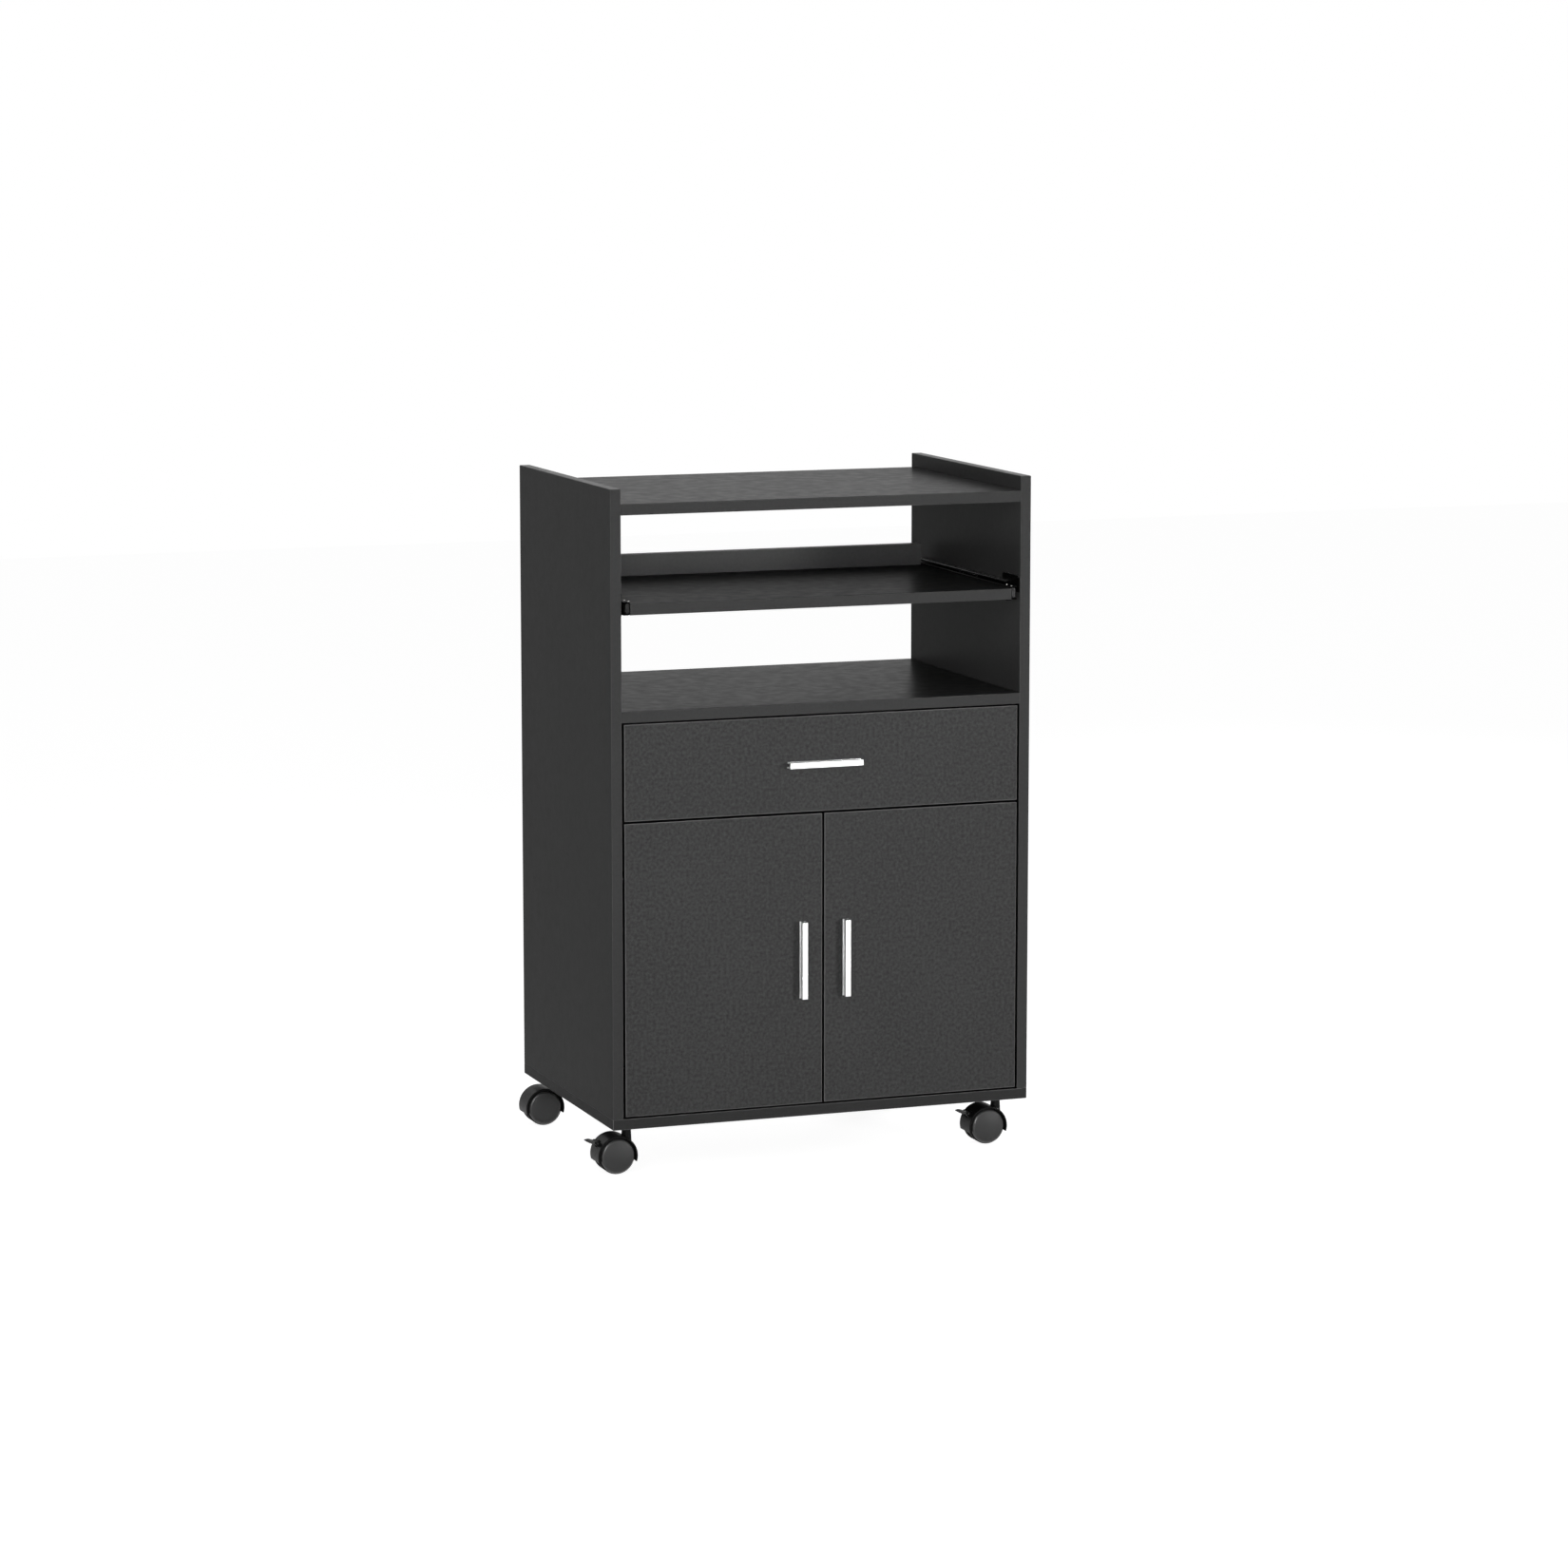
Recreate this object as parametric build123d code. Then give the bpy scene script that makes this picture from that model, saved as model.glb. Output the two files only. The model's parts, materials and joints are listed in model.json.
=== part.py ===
"""Kitchen trolley: a coated-board carcass on swivel casters, with an open bay, a pull-out
shelf on ball slides, a drawer and a two-door cupboard.

Millimetres. The floor is Z 0, the trolley's middle is X 0 and Y 0, and its front faces -Y.
"""
from build123d import *
import math
import os

# Boards
body_width = 600.0
body_depth = 400.0
board = 15.0
edge_radius = 1.0
back_board = 3.0
back_groove = 4.0
back_groove_play = 0.1
back_inset = 10.0

# Heights, stacked from the bottom panel up
door_height = 397.0
drawer_front_height = 130.0
pullout_clear_height = 128.0
upper_clear_height = 117.5
top_upstand = 20.0

# Gaps round the drawer front and the doors
front_gap = 3.0
shelf_gap = 2.25

# Inner shelf of the cupboard
inner_shelf_height_share = 0.5
inner_shelf_setback = 20.0
inner_shelf_play = 0.5
shelf_pin_radius = 2.5
shelf_pin_grip = 10.0
shelf_pin_reach = 9.0
shelf_pin_inset = 45.0

# Cam fittings between the fixed shelves and the side panels
cam_radius = 7.5
cam_depth = 12.0
cam_inset = 24.0
cam_setback = 50.0
cam_bolt_radius = 3.5
cam_bolt_grip = 11.0
cam_bolt_tip = 3.0
cam_cross_length = 9.0
cam_cross_width = 1.4
cam_cross_depth = 2.0
fitting_play = 0.05

# Screws up through the bottom panel into the side panels
bottom_screw_radius = 3.5
bottom_screw_length = 50.0
bottom_screw_head_radius = 5.0
bottom_screw_head_depth = 4.0
bottom_screw_setback = 92.0

# Ball slides of the pull-out shelf and the drawer
slide_thickness = 12.7
rail_height = 27.0
rail_wall = 1.2
rail_lip = 1.2
rail_corner_radius = 2.4
rail_lip_radius = 1.0
rail_play = 2.0
inner_rail_height = 18.0
rail_end_room = 70.0
travel_share = 0.7
cage_length = 70.0
cage_wall = 0.8
cage_play = 1.0
ball_play = 0.1
ball_inset = 2.4
balls_in_row = 4

# Pull-out shelf
pullout_back_room = 55.0
pullout_rail_rise = 1.5
pullout_outer_setback = 28.0
pullout_inner_setback = 2.0
rail_ear_length = 58.0
rail_ear_rise = 9.0
rail_ear_radius = 6.0
rail_stop_length = 9.0
rail_stop_thickness = 5.0
rail_stop_height = 13.0
rail_stop_radius = 2.0
lip_height = 30.0
lip_screw_radius = 2.0
lip_screw_head_radius = 4.0
lip_screw_head_depth = 2.4
lip_screw_bite = 18.0
lip_screw_inset = 60.0

# Drawer box
drawer_side_board = 12.0
drawer_side_height = 90.0
drawer_side_lift = 16.0
drawer_bottom_board = 3.0
drawer_bottom_groove = 5.0
drawer_bottom_lift = 10.0
drawer_groove_play = 0.1
drawer_rail_setback = 2.0

# Bar handles, an extruded section with a groove down each side
handle_length = 105.0
handle_width = 8.0
handle_depth = 14.0
handle_bar_depth = 4.5
handle_foot_depth = 2.5
handle_groove = 1.5
handle_edge_radius = 0.6
handle_screw_spacing = 64.0
handle_screw_radius = 2.0
handle_screw_bite = 8.0
handle_screw_head_radius = 4.0
handle_screw_head_depth = 2.6
door_handle_inset = 29.5

# Concealed door hinges
hinge_end_distance = 70.0
hinge_pin_inset = 9.5
hinge_pin_setback = 8.0
hinge_pin_radius = 1.5
hinge_running_clearance = 0.05
hinge_knuckle_radius = 3.0
hinge_neck_width = 4.0
hinge_neck_height = 9.0
hinge_clearance = 0.6
hinge_plate_thickness = 2.0
hinge_plate_length = 52.0
hinge_plate_height = 32.0
hinge_plate_setback = 33.0
hinge_arm_height = 18.0
hinge_arm_length = 46.0
cup_radius = 13.0
cup_edge_distance = 3.0
cup_floor = 0.8
cup_flange_thickness = 1.0
cup_flange_height = 44.0

# Casters
wheel_radius = 25.0
wheel_shoulder = 1.5
wheel_cover_step = 1.3
wheel_cover_rim = 4.0
wheel_dome_radius = 95.0
wheel_width = 13.8
wheel_web_gap = 0.4
web_width = 5.0
axle_radius = 2.5
axle_running_clearance = 0.05
axle_end_play = 0.5
axle_grip = 14.5
hood_gap = 0.8
hood_wall = 2.2
hood_width = 37.0
hood_skirt = 8.0
hood_edge_radius = 0.9
axle_boss_radius = 6.0
hood_headroom = 12.5
caster_trail = 17.5
caster_inset_x = 31.0
caster_inset_y = 38.0
neck_radius = 6.0
neck_foot_radius = 8.0
neck_floor = 1.4
neck_gap = 0.3
stem_radius = 4.0
stem_grip = 12.0
stem_running_clearance = 0.05
stem_end_play = 0.3
socket_radius = 5.5
socket_depth = 13.0
socket_flange_radius = 8.0
socket_flange = 1.0

# Brake levers on the front casters
lever_angle = 145.0
lever_pad_angle = 164.0
lever_nose_angle = 295.0
lever_standoff = 3.0
lever_barrel_radius = 2.4
lever_barrel_width = 12.0
lever_pin_radius = 1.2
lever_pin_reach = 2.6
lever_running_clearance = 0.05
lever_length = 17.5
lever_pad_width = 13.0
lever_pad_thickness = 4.2
lever_pad_wide_share = 0.6
lever_tip_width_share = 0.3
lever_root_thickness_share = 0.6
lever_tip_thickness_share = 0.2
lever_thick_place_share = 0.45
lever_nose_length = 5.6
lever_nose_thickness = 2.2
lever_nose_width = 9.0
lever_slot_clearance = 0.8
lever_ear_thickness = 2.6
lever_ear_radius = 3.0
lever_ear_gap = 0.4

# One overrun for all cuts
overrun = 1.0

# Places worked out from the sizes above
side_x = body_width / 2
inner_x = side_x - board
front_y = -body_depth / 2
back_y = body_depth / 2
fronts_back_y = front_y + board
wheel_hood_radius = wheel_radius + hood_gap
hood_radius = wheel_hood_radius + hood_wall
body_z = wheel_radius + hood_radius + hood_headroom
floor_board_z = body_z + board
door_z = floor_board_z + shelf_gap
drawer_z = door_z + door_height + front_gap
middle_shelf_z = drawer_z + drawer_front_height + shelf_gap
pullout_z = middle_shelf_z + board + pullout_clear_height
top_shelf_z = pullout_z + board + upper_clear_height
side_top_z = top_shelf_z + board + top_upstand
rail_length = body_depth - rail_end_room
slide_travel = rail_length * travel_share


def block(low, high):
    """A box between two opposite corners."""
    low_corner = Vector(*low)
    high_corner = Vector(*high)
    size = high_corner - low_corner
    return Pos(*((low_corner + high_corner) / 2)) * Box(size.X, size.Y, size.Z)


def rod(start, end, radius, end_radius=None):
    """A round bar between two points, tapered where an end radius is given."""
    base = Vector(*start)
    along = Vector(*end) - base
    place = Plane(origin=base, z_dir=along).location
    low_end = (Align.CENTER, Align.CENTER, Align.MIN)
    if end_radius is None:
        return place * Cylinder(radius, along.length, align=low_end)
    return place * Cone(radius, end_radius, along.length, align=low_end)


def mirrored(solid):
    """The same piece on the other side of the trolley."""
    return mirror(solid, about=Plane.YZ)


def save(name, *solids):
    """Write one node; a group of like pieces is written as separate solids."""
    shape = solids[0] if len(solids) == 1 else Compound(children=list(solids))
    export_step(shape, f"parts/{name}.step")


def rounded_front(solid, edge_axis):
    """Round the front edges of a board that run along one axis."""
    edges = solid.faces().sort_by(Axis.Y)[0].edges().filter_by(edge_axis)
    return fillet(edges, edge_radius)


def rounded_front_all(solid):
    """Round all the edges of a board's front face."""
    return fillet(solid.faces().sort_by(Axis.Y)[0].edges(), edge_radius)


# Carcass boards
def back_groove_cut():
    """The slot that holds the back panel, cut from the boards round it."""
    low_y = back_y - back_inset - back_board - back_groove_play
    high_y = back_y - back_inset + back_groove_play
    return block((-inner_x - back_groove, low_y, floor_board_z - back_groove),
                 (inner_x + back_groove, high_y, middle_shelf_z + back_groove))


def back_panel():
    reach = back_groove - back_groove_play
    high_y = back_y - back_inset
    return block((-inner_x - reach, high_y - back_board, floor_board_z - reach),
                 (inner_x + reach, high_y, middle_shelf_z + reach))


def cam_places():
    """Depth places of the cam fittings at each end of a fixed shelf."""
    return (front_y + cam_setback, back_y - cam_setback)


def bottom_screw_places():
    """Depth places of the screws up into each side panel."""
    return (front_y + bottom_screw_setback, 0, back_y - bottom_screw_setback)


def caster_places():
    """The swivel axis of each caster, by the caster's name."""
    x = side_x - caster_inset_x
    y = body_depth / 2 - caster_inset_y
    return {
        "front_left": (-x, -y),
        "front_right": (x, -y),
        "back_left": (-x, y),
        "back_right": (x, y),
    }


def bottom_panel():
    panel = block((-side_x, front_y, body_z), (side_x, back_y, floor_board_z))
    panel = fillet(panel.edges(), edge_radius)
    panel -= back_groove_cut()
    for x, y in caster_places().values():
        radius = socket_radius + fitting_play
        panel -= rod((x, y, body_z - overrun), (x, y, body_z + socket_depth), radius)
    screw_x = side_x - board / 2
    for x in (-screw_x, screw_x):
        for y in bottom_screw_places():
            panel -= bottom_screw_bore(x, y, floor_board_z + overrun)
    return panel


def bottom_screw_bore(x, y, end_z):
    """The countersunk hole of one bottom screw, up to a given height."""
    bore = rod((x, y, body_z - overrun), (x, y, end_z), bottom_screw_radius + fitting_play)
    head_z = body_z + bottom_screw_head_depth
    wide = bottom_screw_head_radius + fitting_play
    narrow = bottom_screw_radius + fitting_play
    return bore + rod((x, y, body_z), (x, y, head_z), wide, narrow)


def bottom_screw(x, y):
    head_z = body_z + bottom_screw_head_depth
    shank = rod((x, y, head_z), (x, y, body_z + bottom_screw_length), bottom_screw_radius)
    head = rod((x, y, body_z), (x, y, head_z), bottom_screw_head_radius, bottom_screw_radius)
    recess = rod((x, y, body_z - overrun), (x, y, body_z + bottom_screw_head_depth / 2),
                 bottom_screw_radius / 2)
    return head + shank - recess


def left_side_panel():
    panel = block((-side_x, front_y, floor_board_z), (-inner_x, back_y, side_top_z))
    upright = panel.edges().filter_by(Axis.Z)
    top = panel.faces().sort_by(Axis.Z)[-1].edges()
    panel = fillet(upright + top, edge_radius)
    panel -= back_groove_cut()
    for shelf_z in (middle_shelf_z, top_shelf_z):
        for y in cam_places():
            panel -= cam_bolt_bore(y, shelf_z)
    for y in bottom_screw_places():
        end_z = body_z + bottom_screw_length + fitting_play
        panel -= bottom_screw_bore(-side_x + board / 2, y, end_z)
    for y in shelf_pin_places():
        start = (-inner_x + overrun, y, shelf_pin_z)
        end = (-inner_x - shelf_pin_grip, y, shelf_pin_z)
        panel -= rod(start, end, shelf_pin_radius + fitting_play)
    return panel


def fixed_shelf(shelf_z):
    """A full-depth shelf between the side panels, bored for its cam fittings."""
    shelf = block((-inner_x, front_y, shelf_z), (inner_x, back_y, shelf_z + board))
    shelf = rounded_front(shelf, Axis.X)
    shelf -= back_groove_cut()
    for y in cam_places():
        pocket_top = shelf_z + cam_depth + fitting_play
        pocket = rod((-inner_x + cam_inset, y, shelf_z - overrun),
                     (-inner_x + cam_inset, y, pocket_top), cam_radius + fitting_play)
        cuts = pocket + cam_bolt_bore(y, shelf_z)
        shelf -= cuts
        shelf -= mirrored(cuts)
    return shelf


# Cam fittings
def cam_bolt_bore(y, shelf_z):
    """The hole of one left-hand cam bolt, through the joint."""
    z = shelf_z + board / 2
    start = (-inner_x - cam_bolt_grip, y, z)
    return rod(start, (-inner_x + cam_inset, y, z), cam_bolt_radius + fitting_play)


def cam_bolt(y, shelf_z):
    z = shelf_z + board / 2
    start = (-inner_x - cam_bolt_grip, y, z)
    return rod(start, (-inner_x + cam_inset + cam_bolt_tip, y, z), cam_bolt_radius)


def cam_lock(y, shelf_z):
    """A round cam in its pocket, with a hole for the bolt and a cross for the driver."""
    x = -inner_x + cam_inset
    cam = rod((x, y, shelf_z), (x, y, shelf_z + cam_depth), cam_radius)
    z = shelf_z + board / 2
    tip = x + cam_bolt_tip + fitting_play
    cam -= rod((x - cam_radius - overrun, y, z), (tip, y, z), cam_bolt_radius + fitting_play)
    half_length = cam_cross_length / 2
    half_width = cam_cross_width / 2
    low_z = shelf_z - overrun
    high_z = shelf_z + cam_cross_depth
    cam -= block((x - half_length, y - half_width, low_z), (x + half_length, y + half_width, high_z))
    cam -= block((x - half_width, y - half_length, low_z), (x + half_width, y + half_length, high_z))
    return cam


# Inner shelf and its pins
inner_shelf_room = drawer_z - floor_board_z
inner_shelf_z = floor_board_z + inner_shelf_room * inner_shelf_height_share
shelf_pin_z = inner_shelf_z - shelf_pin_radius
inner_shelf_front_y = fronts_back_y + inner_shelf_setback
inner_shelf_back_y = back_y - back_inset - back_board - inner_shelf_play


def shelf_pin_places():
    return (inner_shelf_front_y + shelf_pin_inset, inner_shelf_back_y - shelf_pin_inset)


def inner_shelf():
    x = inner_x - inner_shelf_play
    shelf = block((-x, inner_shelf_front_y, inner_shelf_z),
                  (x, inner_shelf_back_y, inner_shelf_z + board))
    return rounded_front(shelf, Axis.X)


def shelf_pin(y):
    return rod((-inner_x - shelf_pin_grip, y, shelf_pin_z),
               (-inner_x + shelf_pin_reach, y, shelf_pin_z), shelf_pin_radius)


# Ball slides, drawn on the left side panel's inner face
outer_flange_reach = slide_thickness - rail_wall - rail_play
cage_x = rail_wall + cage_play
inner_flange_x = cage_x + cage_wall + cage_play
ball_x = inner_flange_x + ball_inset
race_low = inner_rail_height / 2
race_high = rail_height / 2 - rail_wall
ball_z = (race_low + race_high) / 2
ball_radius = (race_high - race_low) / 2 - ball_play


def rolled_rail(start_y, middle_line):
    """A rail rolled from one strip, whose section follows a line in X and Z."""
    section = trace(middle_line, rail_wall)
    return Pos(0, start_y, 0) * Rot(90, 0, 0) * extrude(section, -rail_length)


def outer_rail(start_y, centre_z):
    """The C-shaped rail on the side panel, open towards the shelf or drawer."""
    web_x = rail_wall / 2
    lip_x = outer_flange_reach - rail_wall / 2
    flange_z = rail_height / 2 - rail_wall / 2
    lip_z = race_high - rail_lip
    radii = [rail_lip_radius, rail_corner_radius, rail_corner_radius, rail_lip_radius]
    line = FilletPolyline((lip_x, lip_z), (lip_x, flange_z), (web_x, flange_z),
                          (web_x, -flange_z), (lip_x, -flange_z), (lip_x, -lip_z), radius=radii)
    return Pos(-inner_x, 0, centre_z) * rolled_rail(start_y, line)


def inner_rail(start_y, centre_z):
    """The narrower C-shaped rail fixed to the shelf or drawer."""
    web_x = slide_thickness - rail_wall / 2
    flange_z = race_low - rail_wall / 2
    line = FilletPolyline((inner_flange_x, flange_z), (web_x, flange_z), (web_x, -flange_z),
                          (inner_flange_x, -flange_z), radius=rail_corner_radius)
    return Pos(-inner_x, 0, centre_z) * rolled_rail(start_y, line)


def ball_cage(outer_start_y, inner_start_y, centre_z):
    """The strip of balls between the two rails, placed so that it stays in both when open."""
    open_low_y = outer_start_y
    open_high_y = inner_start_y + rail_length - slide_travel
    middle_y = (open_low_y + open_high_y) / 2 + slide_travel / 2
    start_y = middle_y - cage_length / 2
    end_y = middle_y + cage_length / 2
    tab = cage_wall / 2
    cage = block((cage_x, start_y, -ball_z - tab), (cage_x + cage_wall, end_y, ball_z + tab))
    for side in (-1, 1):
        row_z = side * ball_z
        cage += block((cage_x, start_y, row_z - tab), (ball_x + ball_radius / 2, end_y, row_z + tab))
        for index in range(balls_in_row):
            y = start_y + cage_length * (index + 0.5) / balls_in_row
            cage += Pos(ball_x, y, row_z) * Sphere(ball_radius)
    return Pos(-inner_x, 0, centre_z) * cage


# Pull-out shelf
pullout_x = inner_x - slide_thickness
pullout_back_y = back_y - pullout_back_room
pullout_rail_z = pullout_z + board / 2 + pullout_rail_rise
pullout_outer_y = front_y + pullout_outer_setback
pullout_inner_y = front_y + pullout_inner_setback


def rail_ear():
    """The flat ear at the front of the rail on the side panel, for its front screw."""
    low_z = pullout_rail_z
    high_z = pullout_rail_z + rail_height / 2 + rail_ear_rise
    ear = block((-inner_x, pullout_inner_y, low_z),
                (-inner_x + rail_wall, pullout_inner_y + rail_ear_length, high_z))
    return fillet(ear.faces().sort_by(Axis.Z)[-1].edges().filter_by(Axis.X), rail_ear_radius)


def rail_stop():
    """The plastic stop held in the front end of the rail on the shelf."""
    web_x = -inner_x + slide_thickness - rail_wall
    half = rail_stop_height / 2
    stop = block((web_x - rail_stop_thickness, pullout_inner_y, pullout_rail_z - half),
                 (web_x, pullout_inner_y + rail_stop_length, pullout_rail_z + half))
    return fillet(stop.edges().filter_by(Axis.Y), rail_stop_radius)


def lip_screw_places():
    return (-pullout_x + lip_screw_inset, 0, pullout_x - lip_screw_inset)


def lip_screw_shape(x, play):
    """One screw up through the shelf into the lip, or its hole."""
    y = pullout_back_y - board / 2
    shank = rod((x, y, pullout_z), (x, y, pullout_z + board + lip_screw_bite + play),
                lip_screw_radius + play)
    head = rod((x, y, pullout_z), (x, y, pullout_z + lip_screw_head_depth),
               lip_screw_head_radius + play, lip_screw_radius + play)
    return shank + head


def pullout_shelf():
    shelf = block((-pullout_x, front_y, pullout_z), (pullout_x, pullout_back_y, pullout_z + board))
    shelf = rounded_front_all(shelf)
    for x in lip_screw_places():
        shelf -= lip_screw_shape(x, fitting_play)
    return shelf


def pullout_lip():
    lip_z = pullout_z + board
    lip = block((-pullout_x, pullout_back_y - board, lip_z),
                (pullout_x, pullout_back_y, lip_z + lip_height))
    lip = fillet(lip.faces().sort_by(Axis.Z)[-1].edges(), edge_radius)
    for x in lip_screw_places():
        lip -= lip_screw_shape(x, fitting_play)
    return lip


# Bar handles, drawn at the origin along X with the foot on the front face's plane
def handle_section():
    """Half-outlines joined into a bar, a grooved neck and a foot."""
    half = handle_width / 2
    neck = half - handle_groove
    foot_y = -handle_foot_depth
    bar_y = -handle_depth + handle_bar_depth
    right = [(half, 0), (half, foot_y), (neck, foot_y), (neck, bar_y), (half, bar_y),
             (half, -handle_depth)]
    left = [(-x, y) for x, y in reversed(right)]
    return make_face(Polyline(*right, *left, close=True))


def handle_bar():
    bar = extrude(handle_section(), handle_length / 2, both=True)
    front_edges = bar.faces().sort_by(Axis.Y)[0].edges()
    bar = fillet(front_edges, handle_edge_radius)
    for spot in (-handle_screw_spacing / 2, handle_screw_spacing / 2):
        bar -= rod((0, overrun, spot), (0, -handle_screw_bite - fitting_play, spot),
                   handle_screw_radius + fitting_play)
    return bar


def handle_screw(spot):
    shank = rod((0, board, spot), (0, -handle_screw_bite, spot), handle_screw_radius)
    head_end = board + handle_screw_head_depth
    return shank + rod((0, board, spot), (0, head_end, spot), handle_screw_head_radius)


def handle_screws():
    return [handle_screw(spot) for spot in (-handle_screw_spacing / 2, handle_screw_spacing / 2)]


def handle_bores():
    """The two screw holes through the front that carries a handle."""
    bores = [rod((0, -overrun, spot), (0, board + overrun, spot), handle_screw_radius + fitting_play)
             for spot in (-handle_screw_spacing / 2, handle_screw_spacing / 2)]
    return bores[0] + bores[1]


# Drawer
drawer_front_x = inner_x - front_gap
drawer_box_x = inner_x - slide_thickness
drawer_box_z = drawer_z + drawer_side_lift
drawer_back_y = fronts_back_y + drawer_rail_setback + rail_length
drawer_rail_y = fronts_back_y + drawer_rail_setback
drawer_rail_z = drawer_box_z + drawer_side_height / 2
drawer_handle_place = (Pos(0, front_y, drawer_z + drawer_front_height / 2)
                       * Rot(0, 90, 0))


def drawer_bottom_cut():
    """The groove round the drawer for its bottom."""
    reach = drawer_box_x - drawer_side_board + drawer_bottom_groove
    low_z = drawer_box_z + drawer_bottom_lift - drawer_groove_play
    high_z = low_z + drawer_bottom_board + 2 * drawer_groove_play
    return block((-reach, fronts_back_y - drawer_bottom_groove, low_z),
                 (reach, drawer_back_y - drawer_side_board + drawer_bottom_groove, high_z))


def drawer_bottom():
    reach = drawer_box_x - drawer_side_board + drawer_bottom_groove - drawer_groove_play
    low_z = drawer_box_z + drawer_bottom_lift
    front_end = fronts_back_y - drawer_bottom_groove + drawer_groove_play
    back_end = drawer_back_y - drawer_side_board + drawer_bottom_groove - drawer_groove_play
    return block((-reach, front_end, low_z), (reach, back_end, low_z + drawer_bottom_board))


def drawer_front():
    front = block((-drawer_front_x, front_y, drawer_z),
                  (drawer_front_x, fronts_back_y, drawer_z + drawer_front_height))
    front = rounded_front_all(front)
    front -= drawer_bottom_cut()
    return front - drawer_handle_place * handle_bores()


def drawer_left_side():
    side = block((-drawer_box_x, fronts_back_y, drawer_box_z),
                 (-drawer_box_x + drawer_side_board, drawer_back_y, drawer_box_z + drawer_side_height))
    return side - drawer_bottom_cut()


def drawer_back():
    x = drawer_box_x - drawer_side_board
    back = block((-x, drawer_back_y - drawer_side_board, drawer_box_z),
                 (x, drawer_back_y, drawer_box_z + drawer_side_height))
    return back - drawer_bottom_cut()


# Doors and hinges, drawn for the left door
door_hinge_x = -inner_x + front_gap
door_meeting_x = -front_gap / 2
hinge_pin_x = door_hinge_x + hinge_pin_inset
hinge_pin_y = front_y + hinge_pin_setback
notch_floor_y = hinge_pin_y - hinge_knuckle_radius - hinge_clearance
cup_x = door_hinge_x + cup_edge_distance + cup_radius
notch_half_height = hinge_neck_height / 2 + hinge_clearance
pocket_x = hinge_pin_x + hinge_knuckle_radius + hinge_clearance
door_handle_place = Pos(-door_handle_inset - front_gap / 2, front_y, door_z + door_height / 2)


def hinge_places():
    """Heights of the two hinges of a door."""
    return (door_z + hinge_end_distance, door_z + door_height - hinge_end_distance)


def hinge_notch(z):
    """The space in the door and the cup that the arm swings through."""
    return block((door_hinge_x - overrun, notch_floor_y, z - notch_half_height),
                 (pocket_x, fronts_back_y + cup_flange_thickness + overrun, z + notch_half_height))


def left_door():
    door = block((door_hinge_x, front_y, door_z), (door_meeting_x, fronts_back_y, door_z + door_height))
    door = rounded_front_all(door)
    for z in hinge_places():
        door -= rod((cup_x, notch_floor_y - cup_floor, z), (cup_x, fronts_back_y + overrun, z),
                    cup_radius + fitting_play)
        door -= hinge_notch(z)
    return door - door_handle_place * handle_bores()


def hinge_cup(z):
    """The cup pressed into the door's back, with walls that hold the pin."""
    cup = rod((cup_x, notch_floor_y - cup_floor, z), (cup_x, fronts_back_y, z), cup_radius)
    flange_end = fronts_back_y + cup_flange_thickness
    half = cup_flange_height / 2
    cup += block((cup_x - cup_radius, fronts_back_y, z - half), (cup_x + cup_radius, flange_end, z + half))
    cup -= hinge_notch(z)
    return cup - hinge_pin_rod(z, hinge_pin_radius + fitting_play, fitting_play)


def hinge_pin_reach():
    """Half the pin's length: it ends inside the round of the cup."""
    offset = cup_x - hinge_pin_x + hinge_pin_radius
    chord = math.sqrt(cup_radius ** 2 - offset ** 2)
    return (chord + notch_half_height) / 2


def hinge_pin_rod(z, radius, extra):
    reach = hinge_pin_reach() + extra
    return rod((hinge_pin_x, hinge_pin_y, z - reach), (hinge_pin_x, hinge_pin_y, z + reach), radius)


def hinge_arm(z):
    """The plate on the side panel, the arm on it and the neck that reaches into the cup."""
    half_neck = hinge_neck_height / 2
    plate_y = fronts_back_y + hinge_plate_setback - board
    plate_x = -inner_x + hinge_plate_thickness
    arm_x = hinge_pin_x + hinge_neck_width / 2
    arm = block((-inner_x, plate_y, z - hinge_plate_height / 2),
                (plate_x, plate_y + hinge_plate_length, z + hinge_plate_height / 2))
    arm += block((plate_x, plate_y, z - hinge_arm_height / 2),
                 (arm_x, plate_y + hinge_arm_length, z + hinge_arm_height / 2))
    arm += block((arm_x - hinge_neck_width, hinge_pin_y, z - half_neck), (arm_x, plate_y, z + half_neck))
    arm += rod((hinge_pin_x, hinge_pin_y, z - half_neck), (hinge_pin_x, hinge_pin_y, z + half_neck),
               hinge_knuckle_radius)
    return arm - hinge_pin_rod(z, hinge_pin_radius + hinge_running_clearance, overrun)


# Casters, drawn round a swivel axis at X 0 and Y 0
axle_x = -caster_trail
axle_z = wheel_radius
neck_top_z = body_z - socket_flange - neck_gap
stem_bore_radius = stem_radius + stem_running_clearance
stem_bore_near = caster_trail - stem_bore_radius
stem_bore_z = axle_z + neck_floor + math.sqrt(wheel_hood_radius ** 2 - stem_bore_near ** 2)
wheel_start = web_width / 2 + wheel_web_gap
lever_pivot_radius = hood_radius + lever_standoff
lever_pivot_x = axle_x + lever_pivot_radius * math.cos(math.radians(lever_angle))
lever_pivot_z = axle_z + lever_pivot_radius * math.sin(math.radians(lever_angle))


def axle_rod(low_y, high_y, radius):
    return rod((axle_x, low_y, axle_z), (axle_x, high_y, axle_z), radius)


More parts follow.
